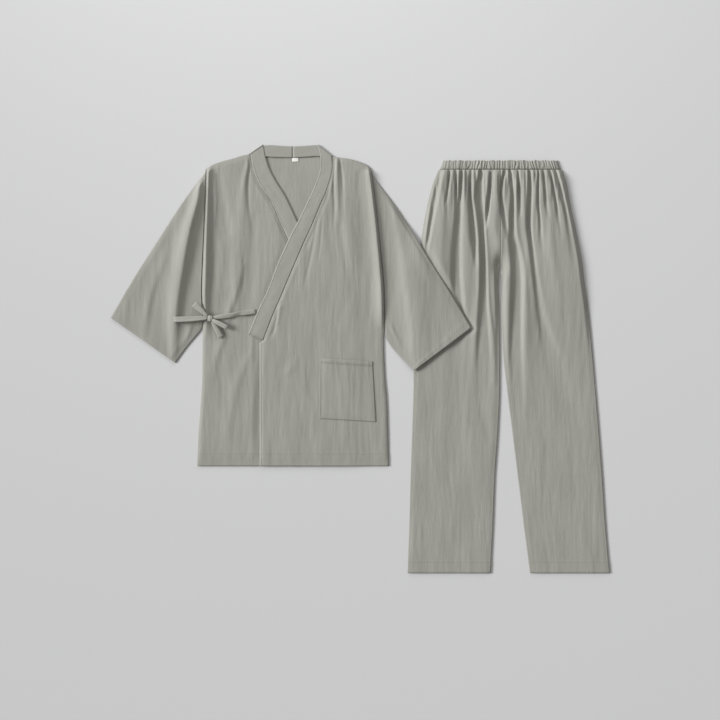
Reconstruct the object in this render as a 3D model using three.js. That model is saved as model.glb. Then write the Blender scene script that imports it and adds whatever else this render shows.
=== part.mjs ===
// A jinbei set in light cotton, laid out flat: a wrap jacket with a tied side, and elastic-waist trousers.
// The jacket's left sleeve lies on the trousers' right leg. Millimetres, +Z up, the cloth rests on Z = 0.
// +X is across the garments and +Y towards the collar and waistband. Left and right are the wearer's.
import * as THREE from "three";

// ---------- driving dimensions ----------
const cloth = 1.2; // one layer of cotton
const collarCloth = 1.8; // the collar is the cotton folded over
const gap = 0.3; // between pieces at a seam, and between layers
const layer = cloth + gap; // the height that one layer takes
const underlap = 3.9; // the left front lies this high over the right front and its collar
const jacketAt = { x: -160, y: -255 }; // the jacket's middle at the hem
const trousersAt = { x: 338, y: -512 }; // the trousers' middle at the hem

// ---------- small tools ----------
const clamp = (value, low, high) => Math.min(high, Math.max(low, value));
const mix = (a, b, share) => a + (b - a) * share;
// 0 at `from` and 1 at `to`, smooth between; `to` may be the smaller number.
const ease = (from, to, value) => THREE.MathUtils.smoothstep((value - from) / (to - from), 0, 1);
const evenly = (count) => Array.from({ length: count + 1 }, (_, i) => i / count);

// A short table: its column names in one string, and a list of numbers for each row.
function table(names, rows) {
  const columns = names.split(" ");
  return rows.map((row) => Object.fromEntries(columns.map((name, i) => [name, row[i]])));
}

// The value of one column where another has a given value, joined by a smooth line that never overshoots.
function between(rows, key, column) {
  const at = rows.map((row) => row[key]);
  const value = rows.map((row) => row[column]);
  const slope = value.slice(1).map((v, i) => (v - value[i]) / (at[i + 1] - at[i]));
  const bend = value.map((_, i) => {
    const [before, after] = [slope[i - 1] ?? slope[i], slope[i] ?? slope[i - 1]];
    return before * after > 0 ? (2 * before * after) / (before + after) : 0;
  });
  return (where) => {
    const x = clamp(where, at[0], at.at(-1));
    const i = clamp(at.findIndex((a) => a >= x) - 1, 0, at.length - 2);
    const span = at[i + 1] - at[i];
    const s = (x - at[i]) / span;
    return (
      value[i] * (1 + 2 * s) * (1 - s) ** 2 +
      bend[i] * span * s * (1 - s) ** 2 +
      value[i + 1] * s * s * (3 - 2 * s) +
      bend[i + 1] * span * s * s * (s - 1)
    );
  };
}

// The same, joined by straight lines.
function straightBetween(rows, key, column) {
  return (where) => {
    const at = clamp(where, rows[0][key], rows.at(-1)[key]);
    const i = clamp(rows.findIndex((row) => row[key] >= at) - 1, 0, rows.length - 2);
    const [a, b] = [rows[i], rows[i + 1]];
    return mix(a[column], b[column], (at - a[key]) / (b[key] - a[key]));
  };
}

// ---------- folds ----------
const foldColumns = "x1 y1 x2 y2 x3 y3 left right lift";
const foldSteps = 8; // straight steps along a fold's crest
const fadeShare = 0.22; // the share of its length over which a fold fades at each end

// How far one fold lifts the cloth: its crest bends from point 1 past point 2 to point 3, and it is
// `left` wide on its -X side and `right` wide on the other.
function foldLift(fold, x, y) {
  let best = { distance: Infinity, along: 0, side: 1 };
  let [px, py] = [fold.x1, fold.y1];
  for (let i = 1; i <= foldSteps; i++) {
    const s = i / foldSteps;
    const qx = (1 - s) ** 2 * fold.x1 + 2 * s * (1 - s) * fold.x2 + s * s * fold.x3;
    const qy = (1 - s) ** 2 * fold.y1 + 2 * s * (1 - s) * fold.y2 + s * s * fold.y3;
    const [dx, dy] = [qx - px, qy - py];
    const along = clamp(((x - px) * dx + (y - py) * dy) / (dx * dx + dy * dy), 0, 1);
    const [nx, ny] = [px + along * dx, py + along * dy];
    const distance = Math.hypot(x - nx, y - ny);
    if (distance < best.distance)
      best = { distance, along: (i - 1 + along) / foldSteps, side: x - nx };
    [px, py] = [qx, qy];
  }
  const width = best.side < 0 ? fold.left : fold.right;
  const fade = ease(0, fadeShare, best.along) * ease(0, fadeShare, 1 - best.along);
  return fold.lift * fade * Math.exp(-((best.distance / width) ** 2));
}

// The lift of several folds, pressed down so that it never passes `flattest`.
const flattest = 2.6;
const lifted = (folds) => (x, y) => {
  const sum = folds.reduce((total, fold) => total + foldLift(fold, x, y), 0);
  return flattest * (1 - Math.exp(-sum / flattest));
};

// ---------- walls of cloth ----------
// A closed body from quads over numbered points. A quad's corners run anticlockwise seen from outside.
function body(points, quads) {
  const index = [];
  for (const [a, b, c, d] of quads) index.push(a, b, c, a, c, d);
  const geometry = new THREE.BufferGeometry();
  geometry.setAttribute("position", new THREE.Float32BufferAttribute(points.flat(), 3));
  geometry.setIndex(index);
  geometry.computeVertexNormals();
  return geometry;
}

// A panel: place(u, v) gives x and y, under(x, y) the height of its lower face.
function panel(us, vs, place, under, thickness = cloth) {
  const [nu, nv] = [us.length, vs.length];
  const lower = vs.flatMap((v) =>
    us.map((u) => {
      const [x, y] = place(u, v);
      return [x, y, under(x, y)];
    }),
  );
  const upper = lower.map(([x, y, z]) => [x, y, z + thickness]);
  const low = (i, j) => j * nu + i;
  const high = (i, j) => nu * nv + low(i, j);
  const quads = [];
  for (let j = 0; j < nv - 1; j++)
    for (let i = 0; i < nu - 1; i++) {
      quads.push([high(i, j), high(i + 1, j), high(i + 1, j + 1), high(i, j + 1)]);
      quads.push([low(i, j), low(i, j + 1), low(i + 1, j + 1), low(i + 1, j)]);
    }
  for (let i = 0; i < nu - 1; i++) {
    quads.push([low(i, 0), low(i + 1, 0), high(i + 1, 0), high(i, 0)]);
    quads.push([low(i + 1, nv - 1), low(i, nv - 1), high(i, nv - 1), high(i + 1, nv - 1)]);
  }
  for (let j = 0; j < nv - 1; j++) {
    quads.push([low(0, j + 1), low(0, j), high(0, j), high(0, j + 1)]);
    quads.push([low(nu - 1, j), low(nu - 1, j + 1), high(nu - 1, j + 1), high(nu - 1, j)]);
  }
  return body([...lower, ...upper], quads);
}

// A tube laid flat, open at both ends: each section gives the same number of [outer, inner] points,
// which run anticlockwise seen from the end that the tube starts at.
function flatTube(sections) {
  const [count, around] = [sections.length, sections[0].length];
  const points = sections.flatMap((section) => section.flat());
  const at = (j, k, inner) => (j * around + (k % around)) * 2 + inner;
  const quads = [];
  for (let k = 0; k < around; k++) {
    for (let j = 0; j < count - 1; j++) {
      quads.push([at(j, k, 0), at(j + 1, k, 0), at(j + 1, k + 1, 0), at(j, k + 1, 0)]);
      quads.push([at(j, k, 1), at(j, k + 1, 1), at(j + 1, k + 1, 1), at(j + 1, k, 1)]);
    }
    quads.push([at(0, k, 0), at(0, k + 1, 0), at(0, k + 1, 1), at(0, k, 1)]);
    const last = count - 1;
    quads.push([at(last, k, 0), at(last, k, 1), at(last, k + 1, 1), at(last, k + 1, 0)]);
  }
  return body(points, quads);
}

// A strap of four corners a row. Each row is two edge points on its middle surface and the face's normal.
function strap(rows, thickness) {
  const points = rows.flatMap(({ one, two, normal }) => {
    const half = normal.clone().multiplyScalar(thickness / 2);
    return [
      one.clone().sub(half),
      two.clone().sub(half),
      two.clone().add(half),
      one.clone().add(half),
    ].map((p) => p.toArray());
  });
  const quads = [];
  for (let j = 0; j < rows.length - 1; j++)
    for (let k = 0; k < 4; k++) {
      const next = (k + 1) % 4;
      quads.push([4 * j + k, 4 * j + next, 4 * (j + 1) + next, 4 * (j + 1) + k]);
    }
  const end = 4 * (rows.length - 1);
  quads.push([3, 2, 1, 0], [end, end + 1, end + 2, end + 3]);
  return body(points, quads);
}

// ---------- meshes ----------
const cotton = new THREE.MeshStandardMaterial({ color: 0x9f9f92, roughness: 0.95, metalness: 0 });
const whiteTape = new THREE.MeshStandardMaterial({ color: 0xf2f2ee, roughness: 0.8, metalness: 0 });

function piece(group, name, geometry, material = cotton) {
  const mesh = new THREE.Mesh(geometry, material);
  mesh.name = name;
  group.add(mesh);
}

// ---------- trousers ----------
const rise = 746; // height of the crotch above the hem
const bandFoot = 968; // where the waistband meets the legs
const bandTop = 990;
const trouserHem = 0;

// The trousers' outline up from the hem: outer edges, and the inner edge of each leg.
const legOutline = table("y outerRight innerRight innerLeft outerLeft", [
  [0, -223, -24, 71, 262],
  [115, -219, -18, 56, 252],
  [223, -216, -14, 43, 245],
  [343, -212, -6, 28, 236],
  [440, -209, -2, 16, 228],
  [535, -208, -1.5, 6, 220],
  [640, -205, -3, 2.5, 210],
  [rise - 40, -199, -5, 3, 201],
  [rise, -196, -gap / 2, gap / 2, 196],
  [820, -187, -gap / 2, gap / 2, 182],
  [890, -174, -gap / 2, gap / 2, 167],
  [935, -162, -gap / 2, gap / 2, 159],
  [bandFoot, -148, -gap / 2, gap / 2, 148],
]);
const legEdge = {
  outerRight: between(legOutline, "y", "outerRight"),
  innerRight: between(legOutline, "y", "innerRight"),
  innerLeft: between(legOutline, "y", "innerLeft"),
  outerLeft: between(legOutline, "y", "outerLeft"),
};

const trouserFolds = table(foldColumns, [
  [-121, 975, -124, 860, -131, 715, 16, 9, 3.2],
  [-78, 975, -76, 850, -83, 655, 12, 9, 4],
  [-56, 975, -52, 800, -50, 600, 15, 9, 4.6],
  [-49, 740, -50, 560, -56, 400, 18, 12, 4.2],
  [-30, 975, -31, 900, -36, 820, 8, 7, 3.5],
  [-12, 965, -8, 811, -16, 620, 12, 9, 4.2],
  [-16, 730, -14, 540, -10, 400, 9, 8, 4],
  [13, 975, 20, 830, 22, 620, 10, 9, 4.2],
  [20, 730, 22, 540, 26, 420, 9, 10, 4],
  [41, 975, 41, 880, 42, 800, 8, 7, 3.5],
  [65, 975, 66, 830, 82, 600, 13, 9, 4.4],
  [80, 700, 85, 540, 98, 330, 24, 18, 2.4],
  [89, 975, 88, 890, 90, 800, 8, 6, 3.2],
  [113, 975, 114, 900, 120, 780, 8, 7, 3],
  [126, 965, 134, 830, 157, 640, 14, 12, 2.4],
  [143, 965, 152, 860, 172, 740, 9, 8, 2.4],
]);
const trouserLoft = 0.9; // how far the front stands off the back between folds
const trouserLift = lifted(trouserFolds);

// The lower face of the trousers' front: down on the back at the seams, lifted in the folds.
function trouserFrontUnder(x, y) {
  const side = x < 0 ? ["outerRight", "innerRight"] : ["outerLeft", "innerLeft"];
  const [outer, inner] = side.map((name) => Math.abs(x - legEdge[name](y)));
  const nearSeam = Math.min(outer, y < rise ? inner : outer);
  const open = ease(0, 14, nearSeam) * ease(bandFoot, bandFoot - 22, y) * ease(trouserHem, 60, y);
  return layer + open * (trouserLoft + trouserLift(x, y));
}

const legRows = [0, 0.1, 0.22, 0.34, 0.44, 0.52, 0.6, 0.68, 0.74, 0.77, 0.83, 0.89, 0.945, 0.98, 1];

function addTrousers(group) {
  const legPlace = (outer, inner) => (u, v) => {
    const y = v * (bandFoot - gap);
    const [a, b] = [legEdge[outer](y), legEdge[inner](y)];
    return [mix(Math.min(a, b), Math.max(a, b), u), y];
  };
  for (const side of ["right", "left"]) {
    const name = side === "right" ? "Right" : "Left";
    const place = legPlace(`outer${name}`, `inner${name}`);
    piece(group, `trousers_back_${side}`, panel(evenly(2), legRows, place, () => 0));
    piece(group, `trousers_front_${side}`, panel(evenly(22), legRows, place, trouserFrontUnder));
  }
  piece(group, "waistband", waistband());
}

// The waistband: a casing drawn up by its elastic into small gathers, lying flat.
function waistband() {
  const gathers = 22;
  const perGather = 2;
  const [topWidth, footWidth] = [275, 290];
  const [depth, ripple, wall] = [5.2, 0.8, cloth];
  const steps = gathers * perGather;
  const section = (y, width) => {
    const inner = width / 2 - wall;
    const across = evenly(steps);
    const wave = (k) => (k % perGather ? ripple : 0);
    const back = across.map((s) => [
      [mix(-width / 2, width / 2, s), y, 0],
      [mix(-inner, inner, s), y, wall],
    ]);
    const front = across.map((s, k) => [
      [mix(width / 2, -width / 2, s), y, depth + wave(k)],
      [mix(inner, -inner, s), y, depth + wave(k) - wall],
    ]);
    return [...back, ...front];
  };
  return flatTube([section(bandFoot, footWidth), section(bandTop, topWidth)]);
}

// ---------- jacket ----------
const armhole = 340; // height of the underarm above the hem
const shoulderEnd = 714; // where the shoulders meet the sleeves
const bodyOutline = table("y right left", [
  [0, -230, 230],
  [62, -228, 229],
  [158, -221, 226],
  [218, -218, 221],
  [302, -217, 218],
  [armhole, -216, 221],
  [420, -220, 220],
  [500, -217, 213],
  [560, -214, 207],
  [640, -211, 198],
  [shoulderEnd, -208, 188],
]);
const bodyEdge = {
  right: between(bodyOutline, "y", "right"),
  left: between(bodyOutline, "y", "left"),
};
const topLine = table("x y", [
  [-208, 714],
  [-190, 725],
  [-151, 737],
  [-103, 748],
  [-62, 742],
  [0, 740],
  [65, 743],
  [94, 742],
  [130, 738],
  [170, 726],
  [188, 714],
]);
const topAt = between(topLine, "x", "y");

// The collar's rows, from the neck to the end of the band: free edge, seamed edge, height of its lower face.
const collarColumns = "freeX freeY seamX seamY under";
const rightCollar = table(collarColumns, [
  [-65, 739, -98, 722, 2.4],
  [-55, 710, -89, 694, 2.1],
  [-38, 679, -72, 662, 1.8],
  [-18, 647, -50, 629, layer],
  [10, 588, -24, 571, layer],
  [36, 530, 2, 514, layer],
  [65, 458, 31, 444, layer],
  [91, 386, 55, 372, layer],
  [108, 326, 72, 314, layer],
]);
const leftCollar = table(collarColumns, [
  [66, 739, 95, 715, 2.6],
  [64, 706, 91, 691, 3.2],
  [50, 667, 79, 655, underlap],
  [38, 641, 67, 629, underlap],
  [13, 589, 43, 571, underlap],
  [-6, 553, 26, 535, underlap],
  [-36, 487, -2, 470, underlap],
  [-61, 421, -28, 408, underlap],
  [-84, 373, -48, 362, underlap],
  [-107, 317, -71, 302, underlap],
]);
const neckFold = {
  right: { freeX: -72, freeY: 771, seamX: -104, seamY: 749.5 },
  left: { freeX: 62, freeY: 771, seamX: 95, seamY: 744 },
};
const frontEdge = { right: 82, left: -80 }; // the fronts' upright free edges below the collar's ends

// A front's opening up from the hem: its free edge, then the seam where it joins the collar.
function frontOpening(collarRows, fold, edge, outward) {
  const seam = [fold, ...collarRows].reverse().map((row) => ({ y: row.seamY, x: row.seamX + outward * gap }));
  seam.at(-1).y = topAt(seam.at(-1).x) - gap;
  const xAt = straightBetween(seam, "y", "x");
  const armholeRow = { y: armhole, x: xAt(armhole) };
  const free = [0, 0.2, 0.42, 0.64, 0.84, 1].map((share) => ({ y: share * (seam[0].y - 7), x: edge }));
  return [...free, seam[0], armholeRow, ...seam.slice(1)];
}
const opening = {
  right: frontOpening(rightCollar, neckFold.right, frontEdge.right, -1),
  left: frontOpening(leftCollar, neckFold.left, frontEdge.left, 1),
};
const openingAt = {
  right: straightBetween(opening.right, "y", "x"),
  left: straightBetween(opening.left, "y", "x"),
};

const rightFrontFolds = table(foldColumns, [
  [-206, 735, -208, 560, -207, 330, 5, 10, 3.6],
  [-113, 760, -112, 600, -142, 370, 26, 16, 2.6],
  [-175, 700, -180, 520, -170, 400, 20, 16, 1.6],
  [-150, 320, -165, 215, -182, 120, 14, 16, 2.2],
  [-112, 230, -112, 120, -114, -20, 20, 14, 1.6],
]);
const leftFrontFolds = table(foldColumns, [
  [186, 735, 206, 540, 212, 330, 10, 5, 3.6],
  [112, 760, 114, 660, 112, 540, 7, 9, 1.6],
  [135, 740, 140, 560, 132, 400, 18, 16, 2],
  [168, 720, 174, 600, 180, 460, 12, 12, 1.4],
  [-30, 190, 0, 230, 30, 280, 14, 14, 1.2],
]);
const jacketLoft = 1;
const liftOf = { right: lifted(rightFrontFolds), left: lifted(leftFrontFolds) };

// How open the cloth may be: nothing at the side seam, the shoulder and the hem, all of it inside.
function openness(x, y, side) {
  const fromSide = Math.abs(x - bodyEdge[side](y));
  return ease(0, 9, fromSide) * ease(0, 30, topAt(x) - y) * ease(0, 50, y);
}

function rightFrontUnder(x, y) {
  const clearOfLeft = ease(frontEdge.left - 4, frontEdge.left - 34, x); // flat where the left front covers it
  const clearOfCollar = ease(0, 26, openingAt.right(y) - x);
  return layer + openness(x, y, "right") * clearOfLeft * clearOfCollar * (jacketLoft + liftOf.right(x, y));
}

function leftFrontUnder(x, y) {
  const step = mix(underlap, layer, ease(120, 200, x)); // over the right front, then down on the back
  const clearOfCollar = ease(0, 16, x - openingAt.left(y));
  const raised = openness(x, y, "left") * clearOfCollar * (jacketLoft + liftOf.left(x, y));
  return step + raised;
}

// A front or back: rows up from the hem to the shoulder, columns from its right edge to its left.
function bodyPlace(rightAt, leftAt) {
  return (u, v) => {
    const shoulder = topAt(mix(rightAt(Infinity), leftAt(Infinity), u)) - gap;
    const y = v * shoulder;
    return [mix(rightAt(y), leftAt(y), u), y];
  };
}

// A front's rows meet its opening where the collar's rows do.
const frontRows = (side) => opening[side].map((row) => row.y / opening[side].at(-1).y);
const backRows = [0, 0.09, 0.22, 0.31, 0.42, 0.455, 0.5, 0.59, 0.7, 0.8, 0.9, 1];

// A collar half: from the middle of the back neck, over the fold at the side of the neck, and down the front.
function collarHalf(side) {
  const mirror = side === "left" ? 1 : -1;
  const fold = neckFold[side];
  const backMiddle = collarCloth / 2;
  const rowAt = (freeX, freeY, seamX, seamY, z, normal) => ({
    one: new THREE.Vector3(freeX, freeY, z),
    two: new THREE.Vector3(seamX, seamY, z),
    normal,
  });
  const backRow = (freeX, freeY, seamX) =>
    rowAt(freeX, freeY, seamX, topAt(seamX) + gap, backMiddle, new THREE.Vector3(0, 0, -1));
  const rows = [
    backRow(mirror * gap, 767, mirror * gap),
    backRow(mirror * 30, 768, mirror * 31),
    backRow(mirror * 54, 770, mirror * 60),
  ];
  const first = side === "left" ? leftCollar[0] : rightCollar[0];
  const radius = (first.under + collarCloth / 2 - backMiddle) / 2;
  const out = new THREE.Vector3(fold.seamY - fold.freeY, fold.freeX - fold.seamX, 0).normalize();
  out.multiplyScalar(Math.sign(out.x * mirror) || 1);
  for (const turn of [0, 45, 90, 135, 180]) {
    const angle = THREE.MathUtils.degToRad(turn);
    const shift = out.clone().multiplyScalar(radius * (Math.sin(angle) - 1));
    const z = backMiddle + radius * (1 - Math.cos(angle));
    const normal = out.clone().multiplyScalar(Math.sin(angle));
    normal.z = -Math.cos(angle);
    const row = rowAt(fold.freeX, fold.freeY, fold.seamX, fold.seamY, z, normal);
    row.one.add(shift);
    row.two.add(shift);
    rows.push(row);
  }
  const down = side === "left" ? leftCollar : rightCollar;
  for (const row of down) {
    const z = row.under + collarCloth / 2;
    rows.push(rowAt(row.freeX, row.freeY, row.seamX, row.seamY, z, new THREE.Vector3(0, 0, 1)));
  }
  if (side === "right") for (const row of rows) [row.one, row.two] = [row.two, row.one];
  return strap(rows, collarCloth);
}

// The patch pocket is the left front's own surface, moved out.
const pocket = { upper: [65, 259, 191, 251], lower: [64, 114, 199, 106] };
function pocketPlace(u, v) {
  const [ax, ay, bx, by] = pocket.lower;
  const [cx, cy, dx, dy] = pocket.upper;
  return [mix(mix(ax, bx, u), mix(cx, dx, u), v), mix(mix(ay, by, u), mix(cy, dy, u), v)];
}
const pocketGap = 0.5; // clear of the facets below it

// ---------- sleeves ----------
// Sections from armhole to cuff: the folded upper edge and the underarm seam.
const sleeveColumns = "foldX foldY underX underY";
const rightSleeve = table(sleeveColumns, [
  [-209, 714, -216.5, 338],
  [-240, 683, -228, 322],
  [-276, 629, -238, 308],
  [-343, 518, -254, 287],
  [-392, 435, -268, 267],
  [-438, 356, -282, 247],
]);
const leftSleeve = table(sleeveColumns, [
  [189, 713, 221.5, 340],
  [223, 670, 225, 310],
  [259, 617, 235, 291],
  [331, 494, 257, 264],
  [380, 412, 273, 246],
  [428, 331, 289, 228],
]);
const rightSleeveFolds = table(foldColumns, [
  [-221, 660, -247, 500, -280, 250, 20, 11, 3.2],
  [-250, 690, -280, 540, -300, 400, 11, 10, 1.6],
  [-335, 490, -366, 400, -378, 290, 16, 13, 2],
]);
const leftSleeveFolds = table(foldColumns, [[236, 640, 262, 480, 276, 270, 14, 36, 2.2]]);
const sleeveEdge = 3; // height of a sleeve's folded edge
const armholeGap = 1; // clear of the body's facets all the way round the armhole
const overLeg = 6.8; // how high the left sleeve's underside passes over the trouser leg
const sleeveLift = { right: lifted(rightSleeveFolds), left: lifted(leftSleeveFolds) };

// The height of the surface that a sleeve lies on, at a place in the jacket's frame.
function groundUnder(x, y, side) {
  if (side === "right") return 0;
  const inTrousers = { x: x + jacketAt.x - trousersAt.x, y: y + jacketAt.y - trousersAt.y };
  const inside = inTrousers.x - legEdge.outerRight(inTrousers.y);
  return overLeg * ease(-60, -4, inside);
}

function sleeve(side) {
  const rows = side === "right" ? rightSleeve : leftSleeve;
  const [acrossTop, acrossUnder, lengths] = [14, 7, 12];
  const step = 1 / (rows.length - 1);
  const numbered = rows.map((row, i) => ({ ...row, s: i * step }));
  const column = (name) => between(numbered, "s", name);
  const edge = ["foldX", "foldY", "underX", "underY"].map(column);
  const outward = side === "right" ? -1 : 1;
  const section = (s) => {
    const [foldX, foldY, underX, underY] = edge.map((at) => at(s));
    const width = Math.hypot(underX - foldX, underY - foldY);
    const follow = (1 - s) ** 4; // at the armhole the sleeve follows the body's edge
    const spot = (t) => {
      const [x, y] = [mix(foldX, underX, t), mix(foldY, underY, t)];
      return [mix(x, bodyEdge[side](y) + outward * armholeGap, follow), y];
    };
    const topAtShare = (t) => {
      const [x, y] = spot(t);
      const inside = width * Math.min(t, 1 - t);
      const open = ease(0, 16, inside) * ease(0, 0.1, s) * ease(1, 0.86, s);
      return groundUnder(x, y, side) + sleeveEdge + open * (0.8 + sleeveLift[side](x, y));
    };
    const inset = (cloth * 1.1) / width;
    const ring = (t, up) => {
      const [x, y] = spot(t);
      const held = clamp(t, inset, 1 - inset);
      const [ix, iy] = spot(held);
      const outer = up ? topAtShare(t) : groundUnder(x, y, side);
      const inner = up ? topAtShare(held) - cloth : groundUnder(ix, iy, side) + cloth;
      return [
        [x, y, outer],
        [ix, iy, inner],
      ];
    };
    const under = evenly(acrossUnder).map((t) => ring(t, false));
    const over = evenly(acrossTop).map((t) => ring(1 - t, true));
    return side === "right" ? [...under, ...over].reverse() : [...under, ...over];
  };
  return flatTube(evenly(lengths).map(section));
}

// ---------- ties and bow ----------
const tie = { width: 12, pinched: 4.5, cloth: 1.6 };
const knot = { x: -199, y: 354, z: 12.4, length: 9, across: 7, high: 3.4 };

// A flat tie along points given as [x, y, z], lying with its width level.
function tieAlong(points) {
  const at = points.map((p) => new THREE.Vector3(...p));
  const widthAt = (p) => mix(tie.pinched, tie.width, ease(knot.length, 30, Math.hypot(p.x - knot.x, p.y - knot.y)));
  const first = at[0];
  const far = at.reduce((best, p) => (p.distanceTo(first) > best.distanceTo(first) ? p : best), first);
  const side = new THREE.Vector3(first.y - far.y, far.x - first.x, 0).normalize();
  const rows = at.map((p, i) => {
    const along = new THREE.Vector3().subVectors(at[Math.min(i + 1, at.length - 1)], at[Math.max(i - 1, 0)]);
    return {
      one: p.clone().addScaledVector(side, -widthAt(p) / 2),
      two: p.clone().addScaledVector(side, widthAt(p) / 2),
      normal: new THREE.Vector3().crossVectors(along, side).normalize(),
    };
  });
  return strap(rows, tie.cloth);
}

// A loop of the bow: out from the knot, round, and back over itself.
function bowLoop(tipX, tipY, low, high) {
  const start = new THREE.Vector2(knot.x, knot.y);
  const out = new THREE.Vector2(tipX, tipY).sub(start);
  const length = out.length();
  out.normalize();
  const clear = knot.length + gap;
  const spot = (share, z) => {
    const d = mix(clear, length, share);
    return [knot.x + out.x * d, knot.y + out.y * d, z];
  };
  const [middle, half] = [(low + high) / 2, (high - low) / 2];
  const round = [-60, -20, 20, 60].map((turn) => {
    const angle = THREE.MathUtils.degToRad(turn);
    const d = 1 - (half / length) * (1 - Math.cos(angle));
    return spot(d, middle + half * Math.sin(angle));
  });
  const shares = [0, 0.15, 0.3, 0.6, 0.9];
  const back = [...shares].reverse();
  return tieAlong([...shares.map((share) => spot(share, low)), ...round, ...back.map((share) => spot(share, high))]);
}

function bowEnd(tipX, tipY, z, drop) {
  const out = new THREE.Vector2(tipX - knot.x, tipY - knot.y);
  const length = out.length();
  out.normalize();
  const spot = (share) => {
    const d = mix(knot.length + gap, length, share);
    return [knot.x + out.x * d, knot.y + out.y * d, z - drop * share];
  };
  return tieAlong([0, 0.2, 0.4, 0.7, 1].map(spot));
}

function addBow(group) {
  const front = [
    [-92, 371, 5.6],
    [-108, 369, 8],
    [-127, 366, 9.6],
    [-160, 361, 10.4],
    [-178, 357.5, 10.8],
    [knot.x + knot.length + gap, 355, 11],
  ];
  piece(group, "tie_front", tieAlong(front));
  piece(group, "bow_loop_right", bowLoop(-283, 352, 11.6, 14.4));
  piece(group, "bow_loop_left", bowLoop(-157, 333, 12.8, 15.4));
  piece(group, "bow_end_upper", bowEnd(-234, 387, 13, 0.6));
  piece(group, "bow_end_lower", bowEnd(-178, 305, 11, 2.6));
  const wrap = new THREE.SphereGeometry(1, 12, 8).scale(knot.length, knot.across, knot.high);
  wrap.translate(knot.x, knot.y, knot.z);
  piece(group, "bow_knot", wrap);
}

function addJacket(group) {
  const backPlace = bodyPlace(bodyEdge.right, bodyEdge.left);
  const rightPlace = bodyPlace(bodyEdge.right, openingAt.right);
  const leftPlace = bodyPlace(openingAt.left, bodyEdge.left);
  piece(group, "jacket_back", panel(evenly(14), backRows, backPlace, () => 0));
  piece(group, "jacket_front_right", panel(evenly(18), frontRows("right"), rightPlace, rightFrontUnder));
  piece(group, "jacket_front_left", panel(evenly(18), frontRows("left"), leftPlace, leftFrontUnder));
  const pocketUnder = (x, y) => leftFrontUnder(x, y) + cloth + pocketGap;
  piece(group, "pocket", panel(evenly(5), evenly(5), pocketPlace, pocketUnder));
  piece(group, "collar_right", collarHalf("right"));
  piece(group, "collar_left", collarHalf("left"));
  piece(group, "sleeve_right", sleeve("right"));
  piece(group, "sleeve_left", sleeve("left"));
  const label = { width: 15, height: 9, x: 6, y: 734 };
  const labelPlace = (u, v) => [label.x + (u - 0.5) * label.width, label.y + (v - 0.5) * label.height];
  piece(group, "neck_label", panel([0, 1], [0, 1], labelPlace, () => layer, 1), whiteTape);
  addBow(group);
}

// ---------- the set ----------
const set = new THREE.Group();
const jacket = new THREE.Group();
const trousers = new THREE.Group();
jacket.position.set(jacketAt.x, jacketAt.y, 0);
trousers.position.set(trousersAt.x, trousersAt.y, 0);
addJacket(jacket);
addTrousers(trousers);
set.add(jacket, trousers);

// The origin is under the middle of the whole set, on the surface it lies on.
set.updateMatrixWorld(true);
const middle = new THREE.Box3().setFromObject(set).getCenter(new THREE.Vector3());
set.position.set(-middle.x, -middle.y, 0);

export default set;
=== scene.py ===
# A jinbei set in crinkled grey cotton, spread out flat: a wrap jacket tied at its side, and gathered
# trousers. Each garment is drawn in millimetres in its own frame, x across and y up from its hem.
import math
import bpy
import numpy as np
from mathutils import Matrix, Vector
from mathutils.bvhtree import BVHTree


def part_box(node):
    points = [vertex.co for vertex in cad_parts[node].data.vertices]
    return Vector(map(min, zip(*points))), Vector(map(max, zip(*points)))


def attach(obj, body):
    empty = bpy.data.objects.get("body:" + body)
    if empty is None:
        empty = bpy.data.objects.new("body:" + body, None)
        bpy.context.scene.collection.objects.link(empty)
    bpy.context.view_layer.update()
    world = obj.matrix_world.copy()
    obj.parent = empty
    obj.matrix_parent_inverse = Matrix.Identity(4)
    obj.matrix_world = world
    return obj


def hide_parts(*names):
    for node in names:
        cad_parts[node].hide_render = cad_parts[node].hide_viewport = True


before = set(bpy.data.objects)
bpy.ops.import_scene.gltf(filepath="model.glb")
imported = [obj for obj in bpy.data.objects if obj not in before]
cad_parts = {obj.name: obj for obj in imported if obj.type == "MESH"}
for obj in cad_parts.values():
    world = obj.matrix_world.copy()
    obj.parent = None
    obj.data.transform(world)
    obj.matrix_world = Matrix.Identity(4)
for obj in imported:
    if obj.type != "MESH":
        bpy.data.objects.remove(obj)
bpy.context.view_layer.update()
scene = bpy.context.scene
print("frame loaded")


def originOf(backNode, fromItsSide):  # where a garment's own frame has its zero
    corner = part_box(backNode)[0]
    return np.array([corner[0] * 1000 + fromItsSide, corner[1] * 1000, 0])


jacketAt = originOf("jacket_back", 230)
trousersAt = originOf("trousers_back_right", 223)


def ease(start, end, value):  # 0 at start and 1 at end, smooth between
    s = np.clip((value - start) / (end - start), 0, 1)
    return s * s * (3 - 2 * s)


def mix(a, b, share):
    return a + (b - a) * share


def table(names, rows):  # column name to array
    return dict(zip(names.split(), np.array(rows, float).T))


def between(rows, key, column):  # a smooth line through a table's column that never overshoots
    at, value = rows[key], rows[column]
    slope = np.diff(value) / np.diff(at)
    before, after = np.r_[slope[:1], slope], np.r_[slope, slope[-1:]]
    same = before * after > 0
    bend = np.where(same, 2 * before * after / np.where(same, before + after, 1), 0)

    def line(where):
        x = np.clip(where, at[0], at[-1])
        i = np.clip(np.searchsorted(at, x) - 1, 0, len(at) - 2)
        span = at[i + 1] - at[i]
        s = (x - at[i]) / span
        return (
            value[i] * (1 + 2 * s) * (1 - s) ** 2
            + bend[i] * span * s * (1 - s) ** 2
            + value[i + 1] * s * s * (3 - 2 * s)
            + bend[i + 1] * span * s * s * (s - 1)
        )

    return line


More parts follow.
